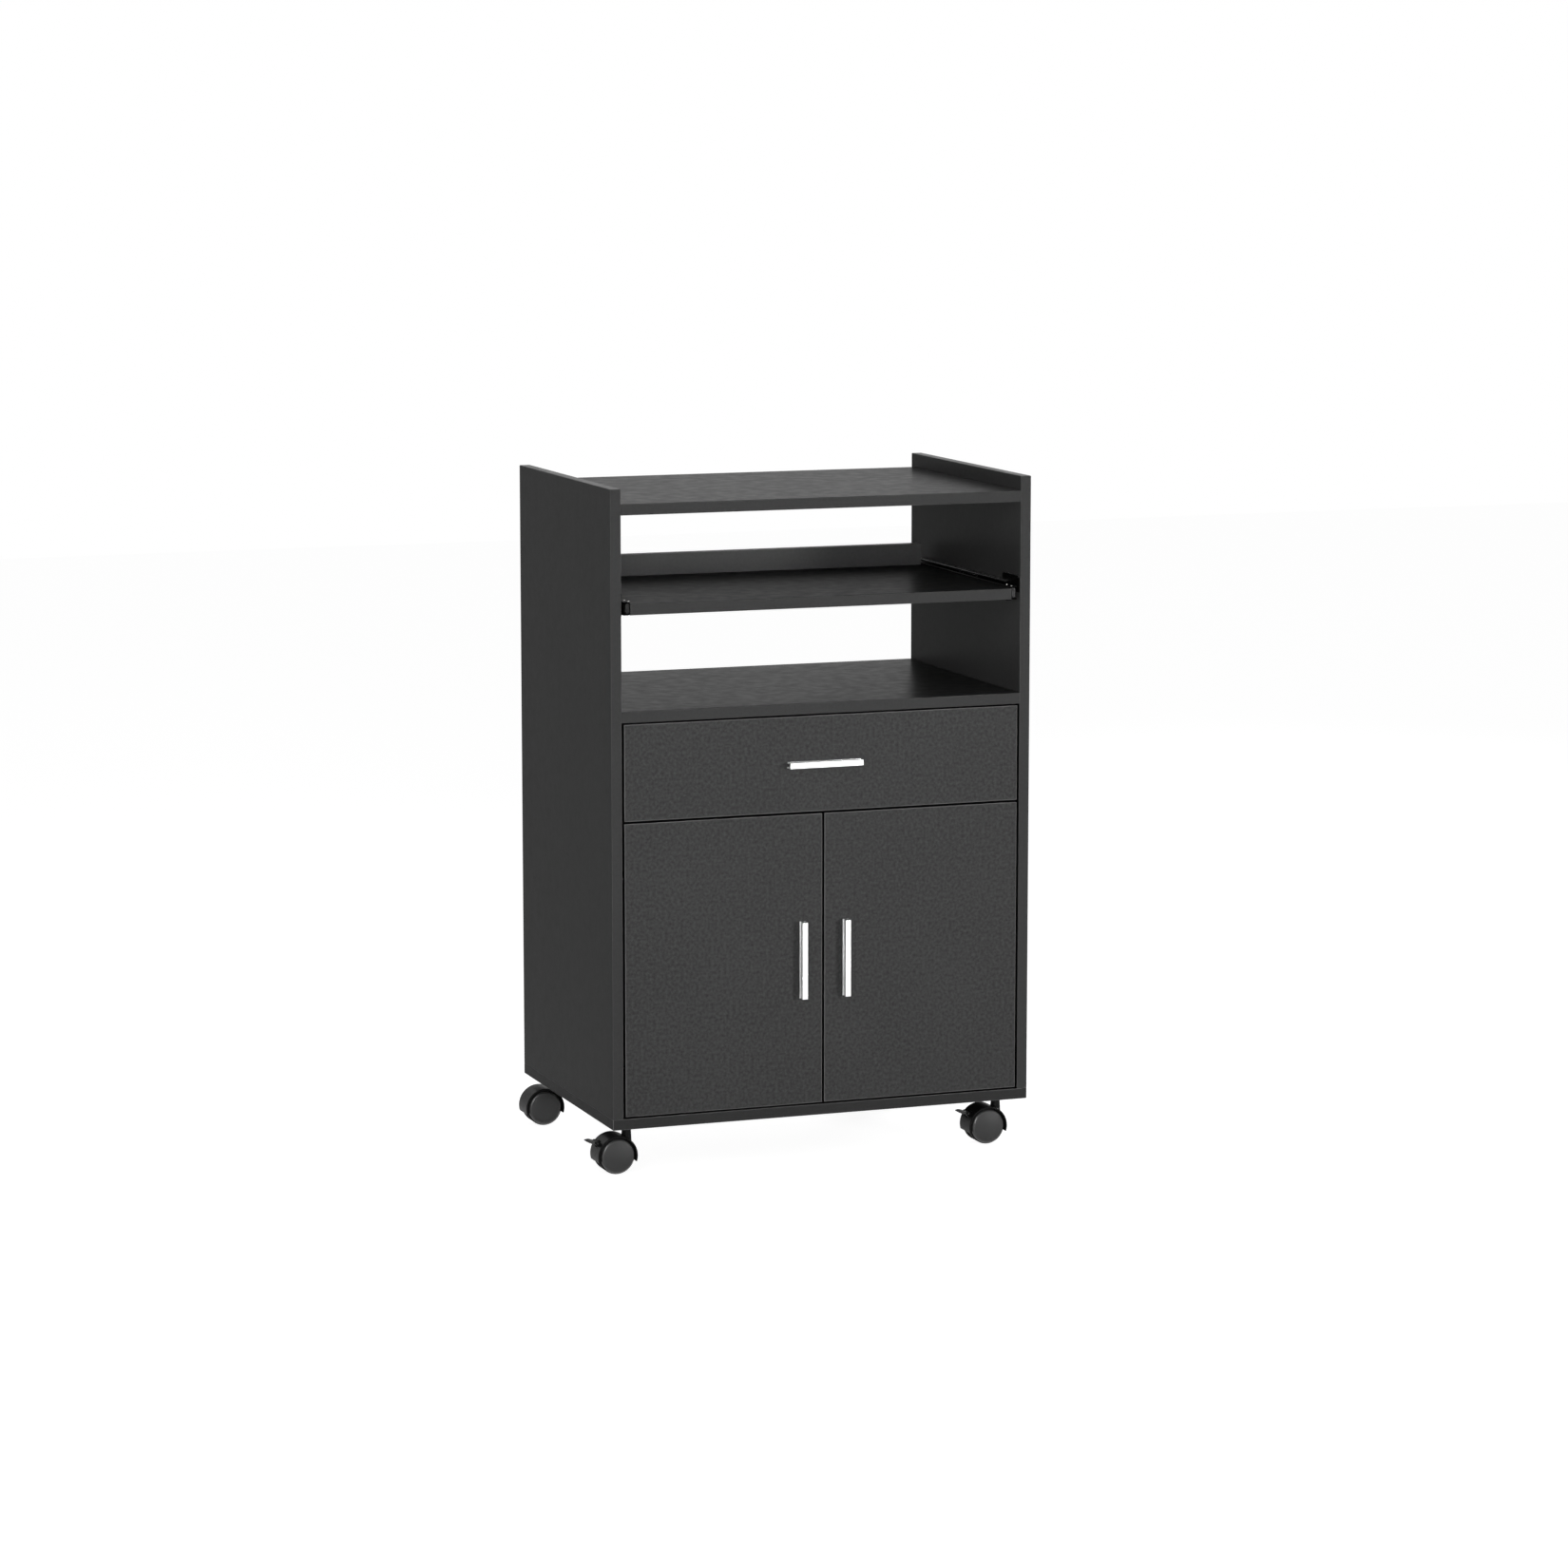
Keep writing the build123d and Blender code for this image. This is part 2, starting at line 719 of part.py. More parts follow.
def caster_hood(with_brake):
    """Mudguard, middle web, axle boss and swivel neck in one moulding."""
    half = hood_width / 2
    low_z = axle_z - hood_skirt
    keep = block((axle_x - hood_radius, -half, low_z), (axle_x + hood_radius, half, axle_z + hood_radius))
    cavity = axle_rod(-half - overrun, half + overrun, wheel_hood_radius)
    shell = (axle_rod(-half, half, hood_radius) & keep) - cavity
    arcs = shell.edges().filter_by(GeomType.CIRCLE)
    rims = arcs.filter_by(lambda arc: arc.radius > wheel_hood_radius + hood_wall / 2)
    tips = shell.edges().filter_by(Axis.Y).group_by(Axis.Z)[0]
    shell = fillet(rims + tips, hood_edge_radius)
    neck = rod((0, 0, axle_z), (0, 0, neck_top_z), neck_foot_radius, neck_radius)
    web = axle_rod(-web_width / 2, web_width / 2, wheel_hood_radius + hood_wall / 2) & keep
    boss = axle_rod(-web_width / 2, web_width / 2, axle_boss_radius)
    hood = shell + (neck - cavity) + web + boss
    hood -= rod((0, 0, stem_bore_z), (0, 0, neck_top_z + overrun), stem_bore_radius)
    hood -= axle_rod(-web_width, web_width, axle_radius + fitting_play)
    return add_brake_ears(hood) if with_brake else hood


def lever_frame(angle):
    """A place at the lever's pivot whose local X points along the given angle."""
    return Pos(lever_pivot_x, 0, lever_pivot_z) * Rot(0, -angle, 0)


def add_brake_ears(hood):
    """Two ears for the lever's pin and the slot that its nose works through."""
    inner = lever_barrel_width / 2 + lever_ear_gap
    outer = inner + lever_ear_thickness
    pivot_low = lever_pivot_radius - wheel_hood_radius
    inward = lever_frame(lever_angle)
    for low_y, high_y in ((-outer, -inner), (inner, outer)):
        ear = rod((0, low_y, 0), (0, high_y, 0), lever_ear_radius)
        ear += block((-pivot_low, low_y, -lever_ear_radius), (0, high_y, lever_ear_radius))
        ear -= rod((0, low_y - overrun, 0), (0, high_y + overrun, 0),
                   lever_pin_radius + lever_running_clearance)
        hood += inward * ear
    slot_width = lever_nose_width / 2 + lever_slot_clearance
    slot_half = lever_nose_thickness + lever_nose_length / 2
    slot_depth = lever_nose_length + lever_slot_clearance
    slot = block((-slot_depth, -slot_width, -slot_half), (-lever_barrel_radius, slot_width, slot_half))
    return hood - inward * slot


def brake_lever():
    """A leaf-shaped foot pad on a barrel, with a nose that comes down on the wheels."""
    half = lever_barrel_width / 2
    pin = half + lever_ear_gap + lever_pin_reach - lever_ear_gap / 2
    lever = Pos(lever_pivot_x, 0, lever_pivot_z) * (
        rod((0, -half, 0), (0, half, 0), lever_barrel_radius)
        + rod((0, -pin, 0), (0, pin, 0), lever_pin_radius))
    wide = lever_pad_width / 2
    tip = lever_pad_width / 2 * lever_tip_width_share
    wide_x = lever_length * lever_pad_wide_share
    side = [(0, half), (wide_x / 2, wide), (wide_x, wide)]
    outline = Polyline((0, -half), (0, half))
    outline += ThreePointArc(*side)
    outline += Line((wide_x, wide), (lever_length - tip, tip))
    outline += ThreePointArc((lever_length - tip, tip), (lever_length, 0), (lever_length - tip, -tip))
    outline += Line((lever_length - tip, -tip), (wide_x, -wide))
    outline += ThreePointArc(*[(x, -y) for x, y in reversed(side)])
    thick = lever_pad_thickness / 2
    root = thick * lever_root_thickness_share
    edge = thick * lever_tip_thickness_share
    swell = [(0, root), (lever_length * lever_thick_place_share, thick), (lever_length, edge)]
    section = Polyline((0, -root), (0, root))
    section += ThreePointArc(*swell)
    section += Line((lever_length, edge), (lever_length, -edge))
    section += ThreePointArc(*[(x, -z) for x, z in reversed(swell)])
    pad = extrude(make_face(outline), thick, both=True)
    pad &= Rot(90, 0, 0) * extrude(make_face(section), lever_pad_width, both=True)
    lever += lever_frame(lever_pad_angle) * pad
    nose = block((0, -lever_nose_width / 2, -lever_nose_thickness / 2),
                 (lever_nose_length, lever_nose_width / 2, lever_nose_thickness / 2))
    return lever + lever_frame(lever_nose_angle) * nose


def caster_wheel():
    """The wheel behind the hood's web, turned from a half section, with a pillowed cover."""
    inner_y = wheel_start
    tread_y = inner_y + wheel_width
    cover_radius = wheel_radius - wheel_cover_step
    rim_radius = cover_radius - wheel_cover_rim
    dome_edge = rim_radius / (1 - wheel_cover_rim / wheel_dome_radius)
    lean = math.asin(dome_edge / wheel_dome_radius)
    half_lean = (lean + math.pi / 2) / 2
    rim_y = tread_y - wheel_cover_rim + wheel_shoulder
    rim_middle = (rim_radius + wheel_cover_rim * math.sin(half_lean),
                  rim_y + wheel_cover_rim * math.cos(half_lean))
    dome_edge_y = rim_y + wheel_cover_rim * math.cos(lean)
    sphere_y = dome_edge_y - wheel_dome_radius * math.cos(lean)
    dome_y = sphere_y + wheel_dome_radius
    dome_middle = (dome_edge / 2, sphere_y + math.sqrt(wheel_dome_radius ** 2 - (dome_edge / 2) ** 2))
    bore = axle_radius + axle_running_clearance
    bore_y = web_width / 2 + axle_grip + axle_end_play
    outline = Polyline((bore, inner_y), (wheel_radius - wheel_shoulder, inner_y),
                       (wheel_radius, inner_y + wheel_shoulder), (wheel_radius, rim_y - wheel_shoulder),
                       (cover_radius, rim_y - wheel_shoulder), (cover_radius, rim_y))
    outline += ThreePointArc((cover_radius, rim_y), rim_middle, (dome_edge, dome_edge_y))
    outline += ThreePointArc((dome_edge, dome_edge_y), dome_middle, (0, dome_y))
    outline += Polyline((0, dome_y), (0, bore_y), (bore, bore_y), (bore, inner_y))
    wheel = revolve(make_face(outline), Axis.Y)
    return Pos(axle_x, 0, axle_z) * wheel


def caster_axle():
    half = web_width / 2 + axle_grip
    return axle_rod(-half, half, axle_radius)


def caster_stem():
    return rod((0, 0, stem_bore_z + stem_end_play), (0, 0, body_z + stem_grip), stem_radius)


def caster_socket():
    socket = rod((0, 0, body_z), (0, 0, body_z + socket_depth), socket_radius)
    socket += rod((0, 0, body_z - socket_flange), (0, 0, body_z), socket_flange_radius)
    return socket - rod((0, 0, body_z - socket_flange - overrun), (0, 0, body_z + stem_grip + fitting_play),
                        stem_radius + fitting_play)


def write_carcass():
    side = left_side_panel()
    save("bottom_panel", bottom_panel())
    save("left_side_panel", side)
    save("right_side_panel", mirrored(side))
    save("top_shelf", fixed_shelf(top_shelf_z))
    save("middle_shelf", fixed_shelf(middle_shelf_z))
    save("back_panel", back_panel())
    save("inner_shelf", inner_shelf())
    left_pins = [shelf_pin(y) for y in shelf_pin_places()]
    save("shelf_pins", *left_pins, *[mirrored(pin) for pin in left_pins])
    spots = [(y, z) for z in (middle_shelf_z, top_shelf_z) for y in cam_places()]
    left_locks = [cam_lock(*spot) for spot in spots]
    save("cam_locks", *left_locks, *[mirrored(lock) for lock in left_locks])
    left_bolts = [cam_bolt(*spot) for spot in spots]
    save("cam_bolts", *left_bolts, *[mirrored(bolt) for bolt in left_bolts])
    left_screws = [bottom_screw(-side_x + board / 2, y) for y in bottom_screw_places()]
    save("bottom_screws", *left_screws, *[mirrored(screw) for screw in left_screws])


def write_slide(name, outer_y, inner_y, centre_z):
    """The rails and ball cages on both sides of the shelf or the drawer."""
    rails = {
        f"{name}_outer_rails": outer_rail(outer_y, centre_z),
        f"{name}_inner_rails": inner_rail(inner_y, centre_z),
        f"{name}_ball_cages": ball_cage(outer_y, inner_y, centre_z),
    }
    if name == "pullout":
        rails["pullout_outer_rails"] += rail_ear()
        rails["pullout_rail_stops"] = rail_stop()
    for node, left in rails.items():
        save(node, left, mirrored(left))


def write_pullout():
    save("pullout_shelf", pullout_shelf())
    save("pullout_lip", pullout_lip())
    save("lip_screws", *[lip_screw_shape(x, 0) for x in lip_screw_places()])
    write_slide("pullout", pullout_outer_y, pullout_inner_y, pullout_rail_z)


def write_drawer():
    side = drawer_left_side()
    save("drawer_front", drawer_front())
    save("drawer_left_side", side)
    save("drawer_right_side", mirrored(side))
    save("drawer_back", drawer_back())
    save("drawer_bottom", drawer_bottom())
    save("drawer_handle", drawer_handle_place * handle_bar())
    save("drawer_handle_screws", *[drawer_handle_place * screw for screw in handle_screws()])
    write_slide("drawer", drawer_rail_y, drawer_rail_y, drawer_rail_z)


def write_doors():
    heights = hinge_places()
    pieces = {
        "door": [left_door()],
        "door_handle": [door_handle_place * handle_bar()],
        "door_handle_screws": [door_handle_place * screw for screw in handle_screws()],
        "hinge_cups": [hinge_cup(z) for z in heights],
        "hinge_pins": [hinge_pin_rod(z, hinge_pin_radius, 0) for z in heights],
        "hinge_arms": [hinge_arm(z) for z in heights],
    }
    for name, left in pieces.items():
        save(f"left_{name}", *left)
        save(f"right_{name}", *[mirrored(solid) for solid in left])


def write_casters():
    braked_hood = caster_hood(True)
    plain_hood = caster_hood(False)
    back_wheel = caster_wheel()
    front_wheel = mirror(back_wheel, about=Plane.XZ)
    stems = []
    sockets = []
    for name, (x, y) in caster_places().items():
        place = Pos(x, y, 0)
        braked = name.startswith("front")
        save(f"{name}_caster_hood", place * (braked_hood if braked else plain_hood))
        save(f"{name}_caster_axle", place * caster_axle())
        save(f"{name}_fore_wheel", place * front_wheel)
        save(f"{name}_aft_wheel", place * back_wheel)
        if braked:
            save(f"{name}_brake_lever", place * brake_lever())
        stems.append(place * caster_stem())
        sockets.append(place * caster_socket())
    save("caster_stems", *stems)
    save("caster_sockets", *sockets)


os.makedirs("parts", exist_ok=True)
write_carcass()
write_pullout()
write_drawer()
write_doors()
write_casters()
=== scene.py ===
"""Looks of the kitchen trolley: finishes, small fittings, studio light and camera."""
import json
import math
from collections import namedtuple

import bmesh
import bpy
from mathutils import Matrix, Vector


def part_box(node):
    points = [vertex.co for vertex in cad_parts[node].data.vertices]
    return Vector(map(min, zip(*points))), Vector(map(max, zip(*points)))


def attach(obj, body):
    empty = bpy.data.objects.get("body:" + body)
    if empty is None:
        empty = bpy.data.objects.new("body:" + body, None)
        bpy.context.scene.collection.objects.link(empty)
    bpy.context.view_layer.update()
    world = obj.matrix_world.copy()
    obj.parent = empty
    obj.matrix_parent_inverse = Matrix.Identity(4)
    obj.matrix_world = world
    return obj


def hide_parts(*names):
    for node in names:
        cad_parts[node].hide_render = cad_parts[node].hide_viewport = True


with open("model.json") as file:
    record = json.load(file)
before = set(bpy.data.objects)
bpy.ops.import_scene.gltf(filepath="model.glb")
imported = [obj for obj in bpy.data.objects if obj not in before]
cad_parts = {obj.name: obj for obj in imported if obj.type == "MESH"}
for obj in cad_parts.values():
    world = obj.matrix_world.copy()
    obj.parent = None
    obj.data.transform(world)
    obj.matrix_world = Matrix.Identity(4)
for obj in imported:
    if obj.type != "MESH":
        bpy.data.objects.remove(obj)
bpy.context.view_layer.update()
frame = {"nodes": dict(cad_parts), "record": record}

MM = 0.001
QUARTER_TURN = math.pi / 2

# Camera, from a perspective fit of the photograph
CAMERA_PLACE = Vector((-2.3223, -6.3416, 1.50985))
CAMERA_DIP = math.radians(8.58)
CAMERA_TURN = math.radians(-20.25)
CAMERA_LENS = 113.4

# World, floor and lamps: sizes in metres, beams in degrees, powers in watts
WHITE = (1.0, 1.0, 1.0, 1.0)
WORLD_LEVEL = 0.16
FLOOR_COLOUR = (0.45, 0.45, 0.45, 1.0)
FLOOR_GLOW = 0.91
FLOOR_REACH = 8.0
LAMP_TARGET = Vector((0.0, 0.0, 0.72))
LAMPS = {
    "key": {"place": Vector((3.1, -5.2, 0.95)), "size": 1.2, "beam": 44.0, "power": 10.0},
    "front": {"place": Vector((-1.7, -5.4, 0.95)), "size": 1.4, "beam": 44.0, "power": 9.0},
    "high_left": {"place": Vector((-2.6, -3.2, 2.6)), "size": 1.6, "beam": 180.0, "power": 26.0},
    "rear": {"place": Vector((4.0, 4.2, 1.6)), "size": 1.6, "beam": 44.0, "power": 17.0},
    "overhead": {"place": Vector((0.4, 0.5, 4.0)), "size": 1.0, "beam": 44.0, "power": 3.2},
}

# The colour sockets of Blender's mix node, which share their names with other sockets
MIX_FIRST_COLOUR = 6
MIX_SECOND_COLOUR = 7
MIX_COLOUR_RESULT = 2

# How far a face leans: bounds on one part of its direction, from 0 to 1
ARRIS_LEAN = (0.94, 0.998)
EDGE_FACE_LEAN = (0.3, 0.6)
TOP_FACE_LEAN = (0.5, 0.9)
COVER_RIM_LEAN = (0.93, 0.972)

# The recess of the drawer and the doors, in metres, and how dark the painted shade on its edge faces is
RECESS_MARGIN = 1.0 * MM
RECESS_HALF_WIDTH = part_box("right_side_panel")[1].x - RECESS_MARGIN
RECESS_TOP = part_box("middle_shelf")[0].z + RECESS_MARGIN
RECESS_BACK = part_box("drawer_front")[1].y
RECESS_FADE = 4.0 * MM
GAP_SHADE_LEVEL = 0.002

# Boards: grains and clouds per metre, and how far their tone and gloss drift
GRAIN_SCALE = 230.0
LIGHT_GRAINS = (0.5, 0.72)
DARK_GRAINS = (0.28, 0.5)
CLOUD_SCALE = 9.0
CLOUD_CONTRAST = 0.04
BOARD_ROUGH_DRIFT = 0.04

# Faces of a board that look up: the share of its tone that they keep as painted shade, and their own gloss
Top = namedtuple("Top", "tone_share ior")
SHELF_TOP = Top(tone_share=0.5, ior=1.053)
PULLOUT_TOP = Top(tone_share=0.5, ior=1.044)
EDGE_TOP = Top(tone_share=1.0, ior=1.09)

# Black rails, and the painted highlight on the tops of the outer ones
RAIL_IOR = 1.04
RAIL_TOP_IOR = 1.4
RAIL_TOP_HIGHLIGHT_LEVEL = 0.09

# Bar handles: how far the draw lines stretch, and the painted shade on the sides beside the bright fronts
DRAW_LINE_SHARE = 0.012
HANDLE_SIDE_SHADE_LEVEL = 0.4

# Wheel covers, and their glossier rims
COVER_IOR = 1.3
COVER_RIM_IOR = 1.5
COVER_RIM_POLISH = 0.2

# Moulded plastic: shares between which its tone drifts, and the drift of its gloss
MOULDED_TONE_SHARES = (0.85, 1.2)
MOULDED_ROUGH_DRIFT = 0.05

# Small screws: radius and rise of each kind of head, in metres
WELD = 1e-6
HEAD_SIDES = 28
HEAD_SEAT = 0.2 * MM
HEAD_TURN = 0.7
HEAD_SHARP_ANGLE = math.radians(40)
HEAD_DOME_SHARES = ((1.0, 0.25), (0.92, 0.6), (0.72, 0.86), (0.4, 0.97))
CROSS_LENGTH_SHARE = 1.25
CROSS_WIDTH_SHARE = 0.3
CROSS_DEPTH_SHARE = 0.75
HINGE_SCREW = (3.1 * MM, 1.1 * MM)
ADJUSTER = (2.8 * MM, 0.7 * MM)
HANDLE_SCREW = (3.9 * MM, 1.1 * MM)
RAIL_SCREW = (3.3 * MM, 1.4 * MM)
FLAT_RAIL_SCREW = (3.3 * MM, 0.6 * MM)
RIVET = (1.1 * MM, 0.7 * MM)

# Where the screws sit on what carries them, in metres or as shares of its length
PLATE_THICKNESS = 2.0 * MM
PLATE_LENGTH = 52.0 * MM
PLATE_SCREW_SPREAD = 12.5 * MM
ADJUSTER_SHARES = (0.3, 0.75)
CUP_SCREW_SPREAD = 18.0 * MM
RAIL_WALL = 1.2 * MM
RAIL_SCREW_SHARES = (0.18, 0.5, 0.86)
EAR_SCREW_SETBACK = 13.0 * MM
EAR_SCREW_DROP = 6.5 * MM
RIVET_SETBACKS = (3.0 * MM, 19.0 * MM)
RIVET_INSET = 1.8 * MM

# Caster wheels, in metres
WHEEL_SIDES = 128
WHEEL_BORE = 2.55 * MM
WHEEL_BORE_DEPTH = 14.6 * MM
WHEEL_SHOULDER = 1.5 * MM
WHEEL_COVER_STEP = 1.3 * MM
WHEEL_COVER_RIM = 4.0 * MM
WHEEL_DOME_RADIUS = 95.0 * MM
WHEEL_SHARP_ANGLE = math.radians(30)
TREAD_LINE = 0.3 * MM
ARC_STEPS = 10


class Finish:
    """One material's nodes, with short ways to add and join them."""

    def __init__(self, name, **settings):
        self.material = bpy.data.materials.new(name)
        self.material.use_nodes = True
        self.nodes = self.material.node_tree.nodes
        self.links = self.material.node_tree.links
        self.shader = self.nodes["Principled BSDF"]
        for socket, value in settings.items():
            self.shader.inputs[socket.replace("_", " ")].default_value = value
        self.place = self.add("TexCoord").outputs["Object"]

    def add(self, kind, **inputs):
        """A node of this kind, with values set on its sockets or links led to them."""
        node = self.nodes.new("ShaderNode" + kind)
        for name, value in inputs.items():
            self.join(value, node.inputs[name.replace("_", " ")])
        return node

    def join(self, value, socket):
        """Lead a link to a socket, or set a plain value on it."""
        if isinstance(value, bpy.types.NodeSocket):
            self.links.new(value, socket)
        else:
            socket.default_value = value

    def noise(self, scale, detail=2.0, roughness=0.5, stretch=None):
        """Soft noise, drawn out along some axes where a stretch is given."""
        where = self.place
        if stretch:
            where = self.add("Mapping", Vector=where, Scale=stretch).outputs["Vector"]
        node = self.add("TexNoise", Vector=where, Scale=scale, Detail=detail, Roughness=roughness)
        return node.outputs["Fac"]

    def pebbles(self, scale):
        """Rounded cells side by side."""
        node = self.nodes.new("ShaderNodeTexVoronoi")
        node.feature = "SMOOTH_F1"
        self.join(self.place, node.inputs["Vector"])
        self.join(scale, node.inputs["Scale"])
        self.join(1.0, node.inputs["Smoothness"])
        return node.outputs["Distance"]

    def spread(self, value, low, high, bounds=(0.3, 0.7)):
        """A value between two bounds, which fit most noise, drawn out to a range."""
        node = self.add("MapRange", Value=value, From_Min=bounds[0], From_Max=bounds[1],
                        To_Min=low, To_Max=high)
        return node.outputs["Result"]

    def rising(self, value, bounds=(0.3, 0.7)):
        """0 at the lower bound, 1 at the upper."""
        return self.spread(value, 0.0, 1.0, bounds)

    def falling(self, value, bounds):
        """1 at the lower bound, 0 at the upper."""
        return self.spread(value, 1.0, 0.0, bounds)

    def maths(self, operation, first, second=0.0):
        node = self.nodes.new("ShaderNodeMath")
        node.operation = operation
        self.join(first, node.inputs[0])
        self.join(second, node.inputs[1])
        return node.outputs["Value"]

    def blend(self, share, first, second):
        """A colour between two others."""
        node = self.nodes.new("ShaderNodeMix")
        node.data_type = "RGBA"
        self.join(share, node.inputs["Factor"])
        self.join(first, node.inputs[MIX_FIRST_COLOUR])
        self.join(second, node.inputs[MIX_SECOND_COLOUR])
        return node.outputs[MIX_COLOUR_RESULT]

    def direction(self):
        """The X, Y and Z of the way that a face looks."""
        return self.add("SeparateXYZ", Vector=self.add("TexCoord").outputs["Normal"]).outputs

    def arris(self):
        """1 on the rounded edges between flat faces, 0 on the faces."""
        across, along, up = [self.maths("ABSOLUTE", part) for part in self.direction()]
        largest = self.maths("MAXIMUM", self.maths("MAXIMUM", across, along), up)
        return self.falling(largest, ARRIS_LEAN)

    def edge_faces(self):
        """1 on faces that look sideways, up or down, 0 on those that look to the front or the back."""
        return self.falling(self.maths("ABSOLUTE", self.direction()["Y"]), EDGE_FACE_LEAN)

    def top_faces(self):
        """1 on faces that look up, 0 on the rest."""
        return self.rising(self.direction()["Z"], TOP_FACE_LEAN)

    def recess_shade(self):
        """1 where the carcass comes close to the edges of the drawer front and the doors, where its edge
        faces get painted shade.
        """
        place = self.add("SeparateXYZ", Vector=self.place).outputs
        inside = self.maths("LESS_THAN", self.maths("ABSOLUTE", place["X"]), RECESS_HALF_WIDTH)
        under = self.maths("LESS_THAN", place["Z"], RECESS_TOP)
        near = self.falling(place["Y"], (RECESS_BACK - RECESS_FADE, RECESS_BACK))
        return self.maths("MULTIPLY", self.maths("MULTIPLY", inside, under), near)

    def colour(self, value):
        self.join(value, self.shader.inputs["Base Color"])

    def roughness(self, value):
        self.join(value, self.shader.inputs["Roughness"])

    def gloss(self, where, elsewhere, there):
        """One refraction value on some faces and another on the rest."""
        self.join(self.spread(where, elsewhere, there, (0.0, 1.0)), self.shader.inputs["IOR"])

    def bumps(self, height, depth):
        node = self.add("Bump", Height=height, Distance=depth, Strength=1.0)
        self.join(node.outputs["Normal"], self.shader.inputs["Normal"])


def grey(level, warmth=0.0):
    """A nearly neutral colour from one linear level."""
    return (level * (1 + warmth), level, level * (1 - warmth), 1.0)


def board_finish(name, top=None, level=0.049, ior=1.05, rough=0.33, mottle=0.06,
                 pebble_depth=0.03 * MM, arris_highlight_gain=1.6):
    """Charcoal melamine: cloudy tone, pebbled grain, a painted highlight on the arrises and painted shade
    where fronts meet the carcass.

    A board of the carcass has a top, whose tone may be cut by painted shade, and painted shade on its edge
    faces only in the recess; a front has painted shade on all its edges.
    """
    finish = Finish(name, IOR=ior)
    cloud = finish.rising(finish.noise(CLOUD_SCALE, detail=3.0))
    tone = finish.blend(cloud, grey(level * (1 - CLOUD_CONTRAST)), grey(level * (1 + CLOUD_CONTRAST)))
    grain = finish.noise(GRAIN_SCALE, detail=3.0, roughness=0.6)
    tone = finish.blend(finish.rising(grain, LIGHT_GRAINS), tone, grey(level * (1 + mottle)))
    tone = finish.blend(finish.falling(grain, DARK_GRAINS), tone, grey(level * (1 - mottle)))
    # Painted highlight: paler arrises stand in for the light that rounded edges catch
    tone = finish.blend(finish.arris(), tone, grey(level * arris_highlight_gain))
    # Painted shade: edge faces where the fronts meet the carcass are near black, for the shade that falls
    # there
    gap_shade = finish.edge_faces()
    if top:
        gap_shade = finish.maths("MULTIPLY", gap_shade, finish.recess_shade())
        # Painted shade: faces that look up keep only a share of the tone, so that their sheen sets how
        # bright they look
        tops = finish.top_faces()
        tone = finish.blend(tops, tone, grey(level * top.tone_share))
        finish.gloss(tops, ior, top.ior)
    finish.colour(finish.blend(gap_shade, tone, grey(GAP_SHADE_LEVEL)))
    smears = finish.noise(scale=60.0, detail=4.0)
    finish.roughness(finish.spread(smears, rough - BOARD_ROUGH_DRIFT, rough + BOARD_ROUGH_DRIFT))
    finish.bumps(finish.maths("ADD", finish.pebbles(GRAIN_SCALE), grain), pebble_depth)
    return finish.material


def hardboard_finish():
    """Thin hardboard with a printed paper face: fine fibres under a matt charcoal."""
    finish = Finish("hardboard", IOR=1.5, Specular_IOR_Level=0.15)
    fibres = finish.rising(finish.noise(scale=260.0, detail=5.0, roughness=0.65, stretch=(1.0, 1.0, 0.25)))
    finish.colour(finish.blend(fibres, grey(0.036), grey(0.052)))
    finish.roughness(finish.spread(finish.noise(scale=45.0, detail=3.0), low=0.55, high=0.7))
    finish.bumps(fibres, depth=0.08 * MM)
    return finish.material


def handle_finish(name, along):
    """Satin anodised aluminium with fine draw lines along one axis of the bar, and painted shade on its
    sides.
    """
    finish = Finish(name, Metallic=1.0)
    stretch = tuple(DRAW_LINE_SHARE if axis == along else 1.0 for axis in "XYZ")
    lines = finish.noise(scale=2600.0, detail=3.0, roughness=0.6, stretch=stretch)
    tone = finish.blend(finish.rising(lines), grey(0.80), grey(0.92))
    # Painted shade: the sides of the bar are darker than its front
    finish.colour(finish.blend(finish.edge_faces(), tone, grey(HANDLE_SIDE_SHADE_LEVEL)))
    finish.roughness(finish.spread(lines, low=0.2, high=0.34))
    finish.bumps(lines, depth=0.02 * MM)
    return finish.material


def rail_finish(name, painted_top_highlight=False):
    """Black coated rolled steel, rubbed a little along its length, and glossier on some tops, which also get
    a paler painted highlight.
    """
    finish = Finish(name, IOR=RAIL_IOR)
    streaks = finish.noise(scale=320.0, detail=4.0, roughness=0.6, stretch=(1.0, 0.06, 1.0))
    tone = finish.blend(finish.rising(streaks, bounds=(0.5, 0.8)), grey(0.003), grey(0.007))
    if painted_top_highlight:
        # Painted highlight: the tops are paler than the black steel, for the light line that they catch
        tops = finish.top_faces()
        tone = finish.blend(tops, tone, grey(RAIL_TOP_HIGHLIGHT_LEVEL))
        finish.gloss(tops, RAIL_IOR, RAIL_TOP_IOR)
    finish.colour(tone)
    finish.roughness(finish.spread(finish.noise(scale=140.0, detail=3.0), low=0.22, high=0.34))
    finish.bumps(finish.noise(scale=1500.0), depth=0.02 * MM)
    return finish.material


def plated_finish():
    """Bright plated steel with faint cloudy marks."""
    finish = Finish("plated_steel", Metallic=1.0)
    marks = finish.rising(finish.noise(scale=180.0, detail=5.0, roughness=0.6))
    finish.colour(finish.blend(marks, grey(0.52, warmth=0.01), grey(0.68, warmth=0.01)))
    finish.roughness(finish.spread(finish.noise(scale=420.0, detail=3.0), low=0.22, high=0.38))
    finish.bumps(finish.noise(scale=2200.0), depth=0.01 * MM)
    return finish.material


